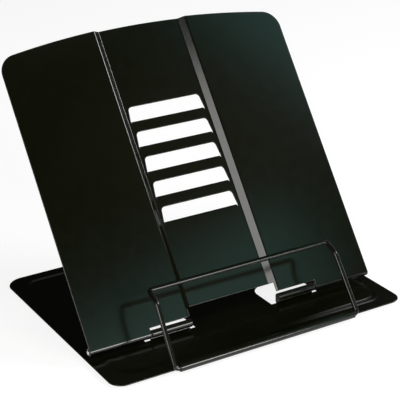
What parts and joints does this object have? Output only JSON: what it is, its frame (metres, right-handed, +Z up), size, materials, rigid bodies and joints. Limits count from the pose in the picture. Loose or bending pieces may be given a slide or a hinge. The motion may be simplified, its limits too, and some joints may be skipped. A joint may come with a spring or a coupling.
{
  "type": "book stand",
  "caption": "Folding metal book stand: tilting back plate with stepped support slots, hinged on a flat base, with a swinging wire page holder in front.",
  "frame": {"origin": "middle of the stand's footprint, on the surface that it rests on", "axes": "+X to the reader's right along the hinge, +Y to the rear, +Z up"},
  "size_m": [0.2, 0.1646, 0.1617],
  "materials": {
    "sheet_paint": "glossy black stove enamel on sheet steel",
    "wire_paint": "glossy black enamel on steel wire",
    "pin_steel": "drawn steel, oversprayed with the stand's enamel and bare at its outer end",
    "foot_rubber": "matt black rubber"
  },
  "bodies": {
    "base": {"base_plate": "sheet_paint", "hinge_pin_left": "pin_steel", "hinge_pin_right": "pin_steel", "foot_front_left": "foot_rubber", "foot_front_right": "foot_rubber", "foot_rear_left": "foot_rubber", "foot_rear_right": "foot_rubber"},
    "plate": {"back_plate": "sheet_paint"},
    "holder": {"page_holder": "wire_paint"},
    "bail": {"support_bail": "wire_paint"}
  },
  "joints": [
    {"name": "plate_hinge", "type": "hinge", "parent": "base", "child": "plate", "pos_m": [0, -0.04131, 0.0071], "axis": [1, 0, 0], "range_deg": [0, 30]},
    {"name": "holder_hinge", "type": "hinge", "parent": "base", "child": "holder", "pos_m": [0, -0.07991, 0.00388], "axis": [1, 0, 0], "range_deg": [-8, 120]},
    {"name": "bail_hinge", "type": "hinge", "parent": "base", "child": "bail", "pos_m": [0, 0.03329, 0.0071], "axis": [1, 0, 0], "range_deg": [0, 54]}
  ],
  "couplings": [
    {"joint": "bail_hinge", "follows": "plate_hinge", "ratio": 1.8}
  ]
}
